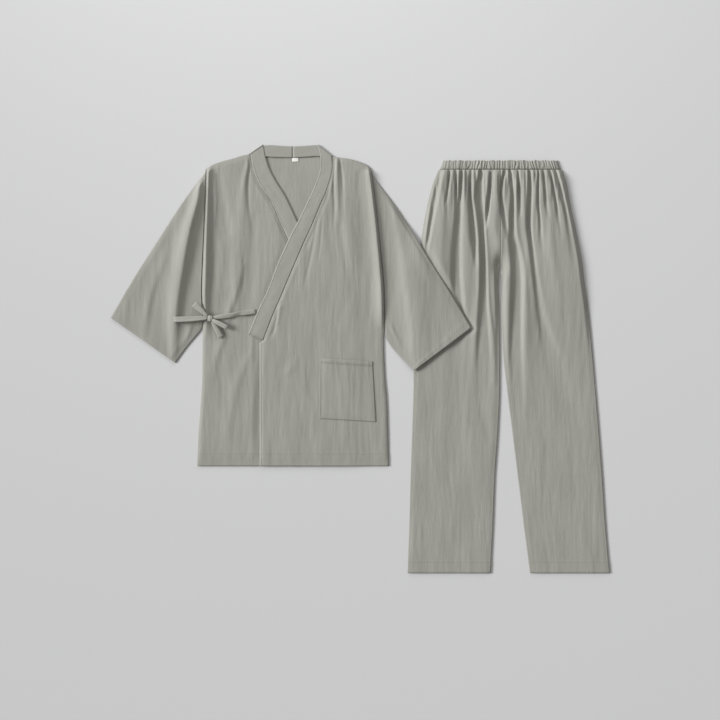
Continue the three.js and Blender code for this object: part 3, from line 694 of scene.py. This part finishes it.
rightFrontValleys = [
    [[-88, 600, 10, 8, -1], [-94, 520, 16, 10, -2.6], [-100, 440, 16, 10, -3],
     [-106, 385, 14, 10, -1.5]],
    [[-176, 690, 10, 8, -1], [-166, 620, 12, 10, -2], [-156, 560, 8, 8, -1.2]],
    [[-104, 716, 3, 3, -2], [-108, 670, 4, 4, -2], [-104, 610, 4, 4, -1.2], [-98, 560, 5, 5, 0]],
]
rightFrontLower = [
    [[-158, 320, 10, 8, 0], [-170, 300, 10, 8, 2.2], [-186, 250, 12, 10, 1.4], [-196, 200, 12, 12, 0]],
    [[-108, 262, 10, 10, 1], [-136, 190, 16, 10, 2.2], [-152, 100, 16, 12, 1.5], [-160, 20, 14, 14, 0]],
    [[-86, 240, 8, 8, 0.6], [-92, 160, 10, 8, 1.2], [-96, 60, 10, 10, 0.8], [-96, 0, 10, 10, 0.6]],
]
leftFrontFolds = [
    [[184, 704, 9, 3.5, 7], [192, 640, 10, 3.5, 9], [203, 540, 12, 4, 10], [211, 440, 12, 4, 10],
     [214, 370, 12, 4, 7], [214, 325, 10, 5, 0]],
    [[106, 735, 4, 4, 3], [106, 690, 5, 5, 3], [108, 640, 6, 6, 2], [112, 590, 8, 8, 1]],
    [[128, 640, 8, 9, 0.6], [132, 570, 10, 12, 1.8], [142, 500, 10, 12, 1.6], [146, 420, 10, 12, 0]],
    [[-22, 212, 10, 10, 0], [-8, 232, 10, 10, 1.2], [10, 262, 9, 10, 0]],
    [[-36, 340, 5, 4, 2], [-30, 380, 5, 5, 1.6], [-40, 300, 6, 6, 0]],
]
leftFrontValleys = [
    [[99, 738, 2.5, 2, -3], [98, 670, 3, 2, -4], [100, 622, 4, 3, -2], [98, 560, 4, 4, 0]],
    [[113, 738, 3, 2, -2.5], [118, 690, 3, 3, -2.5], [122, 640, 4, 4, 0]],
    [[88, 700, 3, 3, -1], [82, 650, 4, 4, -2.5], [66, 610, 5, 5, -1.5], [40, 545, 5, 5, -1.5],
     [10, 490, 6, 6, -0.6]],
    [[60, 600, 4, 4, -0.6], [50, 540, 4, 4, -1.2], [36, 470, 4, 4, -1.2], [24, 420, 5, 5, 0]],
    [[72, 600, 4, 4, -0.6], [66, 540, 3, 3, -1], [60, 480, 4, 4, 0]],
    [[160, 700, 8, 8, -1], [166, 600, 10, 10, -1.4], [172, 500, 12, 10, -1.2], [180, 400, 12, 10, 0]],
    [[-50, 356, 3, 3, -2.5], [-38, 372, 3, 3, -2], [-44, 330, 3, 3, -2], [-56, 306, 4, 4, 0]],
]


def jacketOpen(x, y, side):
    fromSide = np.abs(x - bodyEdge[side](y))
    return ease(0, 7, fromSide) * (0.25 + 0.75 * ease(0, 14, topAt(x) - y)) * (0.3 + 0.7 * ease(0, 30, y))


def hemStep(y):
    cut = jacketCut
    return cut["hemStep"] * ease(cut["hemDepth"] + 1.5, cut["hemDepth"] - 1.5, y)


def collarRise(fromSeam):  # the fronts lift a little to meet the band
    return jacketCut["seamRise"] * np.exp(-((fromSeam / jacketCut["seamReach"]) ** 2))


def rightFrontTop(x, y):
    cut = jacketCut
    clear = ease(-70, -100, x - ease(300, 700, y) * 110)  # flat where the left front covers it
    folds = sum(foldField(rows, x, y) for rows in (rightFrontFolds, rightFrontValleys, rightFrontLower))
    fromSeam = openingAt["right"](y) - x
    clearCollar = ease(0, 12, fromSeam)
    meet = collarRise(fromSeam) * ease(575, 600, y)
    shape = atLeast(0.0, 2.4 + folds + crinkles(x, y, 21, 0.7))
    shape = shape * clear * clearCollar * jacketOpen(x, y, "right")
    return cut["layer"] + meet + cut["wall"] + shape + hemStep(y) + 0.12 * crinkles(x, y, 23, 1)


def leftFrontTop(x, y):
    cut = jacketCut
    base = mix(cut["underlap"], cut["layer"], ease(120, 200, x))
    folds = foldField(leftFrontFolds, x, y) + foldField(leftFrontValleys, x, y)
    fromSeam = x - openingAt["left"](y)
    clearCollar = ease(0, 9, fromSeam)
    base = base + collarRise(fromSeam) * ease(296, 312, y)
    shape = atLeast(0.0, 2.0 + folds + crinkles(x, y, 22, 0.7))
    shape = shape * clearCollar * jacketOpen(x, y, "left")
    return base + cut["wall"] + shape + hemStep(y) + 0.12 * crinkles(x, y, 24, 1)


def bodyGrid(rightAt, leftAt, columns, rows):
    neck = jacketCut["aboveNeck"]
    u = np.linspace(0, 1, columns)[None, :]
    v = np.linspace(0, 1, rows)[:, None]
    shoulder = topAt(mix(rightAt(neck), leftAt(neck), u)) - jacketCut["shoulderGap"]
    y = v * shoulder
    return mix(rightAt(y), leftAt(y), u), y


def addBody():
    cut = jacketCut
    x, y = bodyGrid(bodyEdge["right"], bodyEdge["left"], cut["backColumns"], cut["backRows"])
    neckWaves = 0.5 * noise(x, y, 40, 50, 41) * ease(500, 600, y) * ease(150, 90, np.abs(x))
    high = cut["wall"] + np.maximum(neckWaves, 0)
    back = addSheet("jacketBack", x, y, high, cut["wall"], jacketAt, greyCotton)
    x, y = bodyGrid(bodyEdge["right"], openingAt["right"], cut["columns"], cut["rows"])
    right = addSheet("jacketFrontRight", x, y, rightFrontTop(x, y), cut["wall"], jacketAt, greyCotton)
    x, y = bodyGrid(openingAt["left"], bodyEdge["left"], cut["columns"], cut["rows"])
    left = addSheet("jacketFrontLeft", x, y, leftFrontTop(x, y), cut["wall"], jacketAt, greyCotton)
    return back, right, left


jacketBack, jacketFrontRight, jacketFrontLeft = addBody()
finishPiece(jacketBack, "jacket_back")
finishPiece(jacketFrontRight, "jacket_front_right")
finishPiece(jacketFrontLeft, "jacket_front_left")
print("jacket body made")

pocketCut = {  # each edge runs from x, y to x, y
    "upper": (65, 259, 191, 251), "lower": (64, 114, 199, 106), "width": 130, "height": 145,
    "wall": 0.8, "lift": 0.35, "puff": 0.9, "mouth": 0.6, "hemStep": 0.5,
}


def addPocket():
    cut = pocketCut
    u, v = np.meshgrid(np.linspace(0, 1, 50), np.linspace(0, 1, 56))
    ax, ay, bx, by = cut["lower"]
    cx, cy, dx, dy = cut["upper"]
    x = mix(mix(ax, bx, u), mix(cx, dx, u), v)
    y = mix(mix(ay, by, u), mix(cy, dy, u), v)
    side = np.minimum(u, 1 - u)
    edge = np.minimum(side * cut["width"], v * cut["height"])
    puff = cut["puff"] * ease(1, 14, edge) + cut["mouth"] * ease(0.86, 1, v) * ease(0.02, 0.2, side)
    hem = cut["hemStep"] * ease(0.925, 0.94, v)
    z = leftFrontTop(x, y) + cut["wall"] + cut["lift"] + puff + hem + crinkles(x, y, 51, 0.25)
    return addSheet("pocket", x, y, z, cut["wall"], jacketAt, greyCotton)


pocket = finishPiece(addPocket(), "pocket")
print("pocket made")

collarCut = {
    "wall": 1.7, "width": 34, "backHeight": 1.9, "backLow": 767, "crown": 0.35, "ripple": 0.7,
    "across": 13, "steps": 7,
}
neckFold = {"right": (-72, 771, -104, 749.5), "left": (62, 771, 95, 744)}


def collarHalf(side):
    # A band from the middle of the back neck, folded over at the side of the neck, and down the front.
    cut = collarCut
    sign = 1 if side == "left" else -1
    down = leftCollar if side == "left" else rightCollar
    freeX, freeY, seamX, seamY = neckFold[side]
    topHeight = down[0][4] + cut["wall"]
    rows = []  # free edge x, y, z; seamed edge x, y, z
    for x, y in ((0.04, cut["backLow"]), (30, 768.5), (52, 770)):
        seam = sign * x * (1.0 if x < 1 else 1.1)
        rows.append([sign * x, y, cut["backHeight"], seam, topAt(seam) + 0.3, cut["backHeight"]])
    radius = (topHeight - cut["backHeight"]) / 2
    along = np.array([seamY - freeY, freeX - seamX])
    along = along / np.linalg.norm(along)
    along *= 1 if along[0] * sign > 0 else -1
    for turn in (0, 60, 120, 180):
        a = math.radians(turn)
        shift = along * radius * 2.2 * (math.sin(a) - 1)
        z = cut["backHeight"] + radius * (1 - math.cos(a))
        rows.append([freeX + shift[0], freeY + shift[1], z, seamX + shift[0], seamY + shift[1], z])
    for row in down:
        z = row[4] + cut["wall"]
        rows.append([row[0], row[1], z, row[2], row[3], z])
    path = smoothPath(rows, cut["steps"])
    s = np.linspace(0, 1, cut["across"])[None, :, None]
    one, two = path[:, None, :3], path[:, None, 3:]
    points = mix(one, two, s) if side == "left" else mix(two, one, s)
    middle = points[:, cut["across"] // 2]
    length = np.r_[0, np.cumsum(np.linalg.norm(np.diff(middle, axis=0), axis=1))]
    across = s[..., 0] * cut["width"] + 0 * length[:, None]
    return points, np.stack([across, length[:, None] + 0 * across], 2), length


def addCollar(side):
    cut = collarCut
    points, cloth, length = collarHalf(side)
    x, y = points[..., 0], points[..., 1]
    s = np.linspace(0, 1, cut["across"])[None, :]
    front = ease(120, 150, length)[:, None]
    crown = cut["crown"] * np.sin(math.pi * s) ** 0.5
    ripple = cut["ripple"] * noise(x + y * 0.6, y, 16, 9, 61) * np.sin(math.pi * s)
    points[..., 2] += front * (crown + ripple)
    name = "collar" + side.capitalize()
    # The rows run upwards, so that the face that shows is outside.
    return addCloth(name, points[::-1], cloth[::-1], cut["wall"], jacketAt, collarCotton)


collarRight = finishPiece(addCollar("right"), "collar_right")
collarLeft = finishPiece(addCollar("left"), "collar_left")
print("collar made")

sleeveCut = {
    "wall": 0.8, "length": 330, "cuff": 20, "hemStep": 0.5, "armholeGap": 1.0, "overLeg": 6.9,
    "edge": 3.0, "edgeReach": 5, "floorGap": 0.05,  # the folded edges' height and width
    "across": 86, "under": 40, "rows": 110,
}
sleeveRows = {
    "right": table("s foldX foldY underX underY", [
        [0, -209, 714, -216.5, 338], [0.2, -240, 683, -228, 322], [0.4, -276, 629, -238, 308],
        [0.6, -343, 518, -254, 287], [0.8, -392, 435, -268, 267], [1, -438, 356, -282, 247],
    ]),
    "left": table("s foldX foldY underX underY", [
        [0, 189, 713, 221.5, 340], [0.2, 223, 670, 225, 310], [0.4, 259, 617, 235, 291],
        [0.6, 331, 494, 257, 264], [0.8, 380, 412, 273, 246], [1, 428, 331, 289, 228],
    ]),
}
sleeveFolds = {
    "right": [
        [[-222, 696, 9, 6, 5], [-228, 640, 12, 8, 11], [-246, 570, 18, 9, 14], [-262, 490, 22, 11, 14],
         [-277, 400, 20, 12, 11], [-284, 320, 16, 12, 6], [-284, 255, 14, 12, 2]],
        [[-262, 660, 8, 8, 1], [-300, 590, 10, 9, 2], [-330, 530, 12, 9, 2], [-360, 470, 12, 9, 0.5]],
        [[-300, 520, 12, 9, 0.6], [-336, 430, 14, 9, 2.4], [-350, 370, 12, 8, 2.6],
         [-356, 320, 12, 8, 1]],
        [[-238, 350, 8, 6, 0], [-246, 330, 8, 6, 1.5], [-262, 290, 8, 6, 1]],
    ],
    "left": [
        [[214, 690, 4, 12, 1], [236, 640, 7, 24, 3], [256, 560, 12, 32, 5], [272, 470, 14, 38, 6],
         [284, 380, 14, 42, 5.5], [292, 300, 14, 42, 4], [296, 250, 12, 36, 1.5]],
        [[232, 345, 5, 5, 0], [238, 330, 5, 5, 1.6], [252, 300, 6, 6, 1.4], [262, 276, 6, 6, 0]],
        [[300, 510, 10, 10, 0.6], [322, 460, 10, 10, 1], [344, 420, 10, 10, 0]],
    ],
}


def groundUnder(x, y, side):  # the left sleeve climbs onto the trouser leg
    if side == "right":
        return 0 * x
    inX = x + jacketAt[0] - trousersAt[0]
    inY = y + jacketAt[1] - trousersAt[1]
    inside = inX - legEdge["outerRight"](inY)
    return sleeveCut["overLeg"] * ease(-60, 12, inside)


def addSleeve(side):
    cut = sleeveCut
    rows = sleeveRows[side]
    outward = -1 if side == "right" else 1
    s = np.linspace(0, 1, cut["rows"])[:, None]
    lines = ("foldX", "foldY", "underX", "underY")
    foldX, foldY, underX, underY = (between(rows, "s", name)(s) for name in lines)
    width = np.hypot(underX - foldX, underY - foldY)
    follow = (1 - s) ** 4

    def spot(t):
        x, y = mix(foldX, underX, t), mix(foldY, underY, t)
        return mix(x, bodyEdge[side](y) + outward * cut["armholeGap"], follow), y

    def crowded(count):  # columns that crowd towards the folded edges
        a = np.linspace(0, 1, count)
        return (a + 0.5 * (0.5 - 0.5 * np.cos(math.pi * a)))[None, :] / 1.5

    def fromFold(t):  # how far a place is from the nearest folded edge, and how far it has rounded over
        inside = width * np.minimum(t, 1 - t)
        return inside, np.sqrt(np.clip(1 - (1 - np.clip(inside / cut["edgeReach"], 0, 1)) ** 2, 0, 1))

    tTop = crowded(cut["across"])
    x, y = spot(tTop)
    inside, rounded = fromFold(tTop)
    fromCuff = (1 - s) * cut["length"]
    cuffHem = cut["hemStep"] * ease(cut["cuff"], cut["cuff"] - 4, fromCuff)
    folds = foldField(sleeveFolds[side], x, y)
    pucker = 0.8 * noise(x * 0.8 + y, y * 0, 9, 3, 83) * ease(26, 6, fromCuff)
    openAt = ease(0, 20, inside) * ease(-0.03, 0.05, s) * ease(1.08, 0.93, s)
    shape = atLeast(0, 1.0 + folds + crinkles(x, y, 81, 0.6) + pucker)
    middle = cut["edge"] / 2
    top = groundUnder(x, y, side) + middle + (middle + cuffHem) * rounded + shape * openAt
    upper = np.stack([x, y, top], 2)
    tUnder = np.linspace(0, 1, cut["under"])[None, :]
    ux, uy = spot(tUnder)
    _, roundedUnder = fromFold(tUnder)
    bottom = groundUnder(ux, uy, side) + middle - (middle - cut["floorGap"]) * roundedUnder
    under = np.stack([ux, uy, bottom], 2)[:, 1:-1]
    if side == "left":  # the upper layer runs from the fold to the underarm, the lower one back
        ring = np.concatenate([upper, under[:, ::-1]], 1)
    else:
        ring = np.concatenate([upper[:, ::-1], under], 1)
    name = "sleeve" + side.capitalize()
    return addCloth(name, ring, ring[..., :2], cut["wall"], jacketAt, greyCotton, around=True)


sleeveRight = finishPiece(addSleeve("right"), "sleeve_right")
sleeveLeft = finishPiece(addSleeve("left"), "sleeve_left")
print("sleeves made")

labelCut = {"width": 15, "height": 9, "x": 6, "y": 735, "z": 2.1, "thick": 0.6}


def addLabel():
    cut = labelCut
    u, v = np.meshgrid(np.linspace(-0.5, 0.5, 13), np.linspace(-0.5, 0.5, 9))
    x, y = cut["x"] + u * cut["width"], cut["y"] + v * cut["height"]
    z = cut["z"] + 0.25 * np.cos(u * 5) + 0.15 * v
    return addSheet("neckLabel", x, y, z, cut["thick"], jacketAt, labelTape)


neckLabel = finishPiece(addLabel(), "neck_label", slot="neck_tape")

tieCut = {"wall": 1.3, "crown": 0.5, "crease": 0.25, "across": 7, "steps": 6}
tieRows = {  # x, y, z, width, and how far it is tilted about its own line, in degrees
    "tieFront": [
        [-90, 371, 6.6, 12, 0], [-104, 369, 9, 12, 5], [-118, 367.5, 11, 12, 0],
        [-134, 364.5, 12, 9, -35], [-150, 361.5, 12.2, 11, -15], [-168, 358.5, 12.4, 11, -10],
        [-184, 357, 12.6, 8, 0], [-190, 356, 12.6, 7, 0],
    ],
    "bowLoopRight": [
        [-205, 355, 11.6, 7, 0], [-216, 354, 11.8, 11, 0], [-240, 352.5, 11.6, 13, 0],
        [-268, 351.5, 11.6, 13, 0], [-281, 351.5, 12.4, 13, 0], [-284.5, 351.5, 14.2, 13, 0],
        [-281, 351.5, 16, 13, 0], [-268, 352, 16.6, 13, 0], [-240, 353, 16.6, 12, 0],
        [-216, 355, 16, 10, 0], [-205, 355.5, 14.6, 7, 0],
    ],
    "bowLoopLeft": [
        [-192, 350, 12.8, 6, 0], [-182, 345, 13, 10, 0], [-168, 338, 12.6, 11, 0],
        [-160, 334, 13, 11, 0], [-157, 332.5, 14.6, 11, 0], [-160, 334, 16.4, 11, 0],
        [-170, 339, 17, 11, 0], [-184, 346, 16.6, 9, 0], [-192, 350.5, 15, 6, 0],
    ],
    "bowEndUpper": [
        [-205, 360, 14, 6, 0], [-212, 366, 15, 9, 0], [-222, 376, 15.4, 13, 6],
        [-236, 389, 14.6, 15, 10],
    ],
    "bowEndLower": [
        [-193, 347, 12, 6, 0], [-188, 338, 12.4, 9, 0], [-180, 324, 11.8, 12, -5],
        [-172, 309, 10.4, 13, -8],
    ],
}


def addTie(name):
    cut = tieCut
    path = smoothPath(tieRows[name], cut["steps"])
    middle, wide, tilt = path[:, :3], path[:, 3], np.radians(path[:, 4])
    far = middle[np.argmax(np.linalg.norm(middle - middle[0], axis=1))] - middle[0]
    side = np.array([-far[1], far[0], 0]) / np.hypot(far[0], far[1])
    along = np.gradient(middle, axis=0)
    along /= np.linalg.norm(along, axis=1, keepdims=True)
    up = np.cross(along, side)
    across = np.cos(tilt)[:, None] * side + np.sin(tilt)[:, None] * up
    s = np.linspace(0.5, -0.5, cut["across"])
    points = middle[:, None] + (across * wide[:, None])[:, None] * s[None, :, None]
    crease = cut["crease"] * noise(points[..., 0], points[..., 1], 6, 5, 91)
    crown = cut["crown"] * np.cos(math.pi * s)[None, :] + crease
    normal = np.cross(across, along)
    points = points - normal[:, None] * crown[..., None]
    length = np.r_[0, np.cumsum(np.linalg.norm(np.diff(middle, axis=0), axis=1))]
    cloth = np.stack([s[None, :] * wide[:, None], length[:, None] + 0 * s[None, :]], 2)
    return addCloth(name, points, cloth, cut["wall"], jacketAt, tieCotton)


knotCut = {
    "x": -198.5, "y": 354, "z": 12.6, "across": 12, "wide": 7.5, "high": 4.2, "wall": 1.2,
    "columns": 40, "rows": 19,
}


def addKnot():  # a band wound tightly round the middle of the bow
    cut = knotCut
    turn = np.linspace(0, 2 * math.pi, cut["columns"], endpoint=False)[None, :]
    s = np.linspace(-1, 1, cut["rows"])[:, None]
    bulge = (1 - 0.35 * s**2) + 0.05 * np.cos(s * 9 + 0.8 * np.sin(turn * 2))
    x = cut["x"] + s * cut["across"] / 2 + 0.8 * np.sin(turn)
    y = cut["y"] + cut["wide"] * bulge * np.cos(turn)
    z = cut["z"] + cut["high"] * bulge * np.sin(turn)
    points = np.stack([x, y, z + 0 * x], 2)
    cloth = np.stack([turn * 7 + 0 * s, s * 6 + 0 * turn], 2)
    return addCloth("bowKnot", points, cloth, cut["wall"], jacketAt, tieCotton, around=True, runsRound=True)


tieFront = finishPiece(addTie("tieFront"), "tie_front")
bowLoopRight = finishPiece(addTie("bowLoopRight"), "bow_loop_right")
bowLoopLeft = finishPiece(addTie("bowLoopLeft"), "bow_loop_left")
bowEndUpper = finishPiece(addTie("bowEndUpper"), "bow_end_upper")
bowEndLower = finishPiece(addTie("bowEndLower"), "bow_end_lower")
finishPiece(addKnot(), "bow_knot")
print("bow made")


def alongEdge(line, start, end, inset):
    y = np.linspace(start, end, 60)
    return np.stack([line(y) + inset, y], 1)


hemLine = [[-227, jacketCut["hemDepth"]], [0, jacketCut["hemDepth"] + 0.3], [228, jacketCut["hemDepth"]]]
leftSeam = [[x - 2.2, y + 1.2] for _, _, x, y, _ in leftCollar]
rightSeam = [[x + 2.2, y + 1.2] for _, _, x, y, _ in rightCollar[:5]]  # the rest is under the left front
leftFree = [[x + 2.4, y - 1.0] for x, y, _, _, _ in leftCollar]
cx, cy, dx, dy = pocketCut["upper"]
ax, ay, bx, by = pocketCut["lower"]
pocketRuns = [  # round its three sewn sides, and twice across its hem
    [[cx + 1.5, cy - 1], [ax + 1.5, ay + 1.5], [bx - 1.5, by + 1.5], [dx - 1.5, dy - 1]],
    [[cx + 2, cy - 9], [dx - 2, dy - 9]], [[cx + 2, cy - 11.5], [dx - 2, dy - 11.5]],
]
jacketRuns = [hemLine, leftSeam, rightSeam, leftFree, alongEdge(openingAt["left"], 2, 294, 4)] + pocketRuns
sewnFronts = [jacketFrontRight, jacketFrontLeft, pocket, collarLeft, collarRight]
sewOn("jacketStitching", jacketRuns, sewnFronts, jacketAt)
legRuns = []
for outer, inner in (("outerRight", "innerRight"), ("innerLeft", "outerLeft")):
    h = trousersCut["hemDepth"]
    legRuns.append([[float(legEdge[outer](h)) + 1, h], [float(legEdge[inner](h)) - 1, h]])
bandRun = np.stack([np.linspace(-142, 142, 200), np.full(200, trousersCut["bandFoot"] + 2.5)], 1)
sewnLegs = [front for _, front, _ in trouserPieces]
sewOn("trouserStitching", legRuns + [bandRun], sewnLegs + [waistband], trousersAt)
print("stitching made")

floorMesh = bpy.data.meshes.new("floor")
paperSet = {"reach": 6, "below": -0.0004, "color": (0.672, 0.676, 0.69, 1), "roughness": 0.9, "gloss": 0.1}
paperCorners = [(sx * paperSet["reach"], sy * paperSet["reach"], paperSet["below"])
                for sx, sy in ((-1, -1), (1, -1), (1, 1), (-1, 1))]
floorMesh.from_pydata(paperCorners, [], [(0, 1, 2, 3)])
paper = bpy.data.materials.new("palePaper")
paper.use_nodes = True
paperShader = paper.node_tree.nodes["Principled BSDF"]
paperShader.inputs["Base Color"].default_value = paperSet["color"]
paperShader.inputs["Roughness"].default_value = paperSet["roughness"]
paperShader.inputs["Specular IOR Level"].default_value = paperSet["gloss"]
floor = newObject("floor", floorMesh, paper)

world = bpy.data.worlds.new("studio")
scene.world = world
world.use_nodes = True
lightSet = {
    "air": (1, 0.985, 0.94, 1), "airStrength": 0.33,
    "elevation": 27, "azimuth": 168, "strength": 3.35, "softness": 22,  # angles in degrees
    "topPlace": (-0.3, 1.9, 1.1), "topPower": 11, "topSize": 1.2,
}
world.node_tree.nodes["Background"].inputs[0].default_value = lightSet["air"]
world.node_tree.nodes["Background"].inputs[1].default_value = lightSet["airStrength"]
sun = bpy.data.lights.new("windowLight", "SUN")
sun.energy = lightSet["strength"]
sun.angle = math.radians(lightSet["softness"])
sunObject = bpy.data.objects.new("windowLight", sun)
a, e = math.radians(lightSet["azimuth"]), math.radians(lightSet["elevation"])
towards = Vector((math.cos(a) * math.cos(e), math.sin(a) * math.cos(e), math.sin(e)))
sunObject.rotation_euler = towards.to_track_quat("Z", "Y").to_euler()
scene.collection.objects.link(sunObject)
top = bpy.data.lights.new("topLight", "AREA")  # makes the collar end a little brighter than the hems
top.energy, top.size = lightSet["topPower"], lightSet["topSize"]
topObject = bpy.data.objects.new("topLight", top)
topObject.location = lightSet["topPlace"]
topObject.rotation_euler = Vector(lightSet["topPlace"]).to_track_quat("Z", "Y").to_euler()
scene.collection.objects.link(topObject)
scene.view_settings.view_transform = "Standard"

cameraSet = {"lens": 85, "sensor": 36, "viewWidth": 1.728, "viewHeight": 0.003, "y": -0.003}
camera = bpy.data.cameras.new("camera")
camera.lens, camera.sensor_width = cameraSet["lens"], cameraSet["sensor"]
cameraObject = bpy.data.objects.new("camera", camera)
high = cameraSet["viewWidth"] * camera.lens / camera.sensor_width + cameraSet["viewHeight"]
cameraObject.location = (0, cameraSet["y"], high)
scene.collection.objects.link(cameraObject)
scene.camera = cameraObject
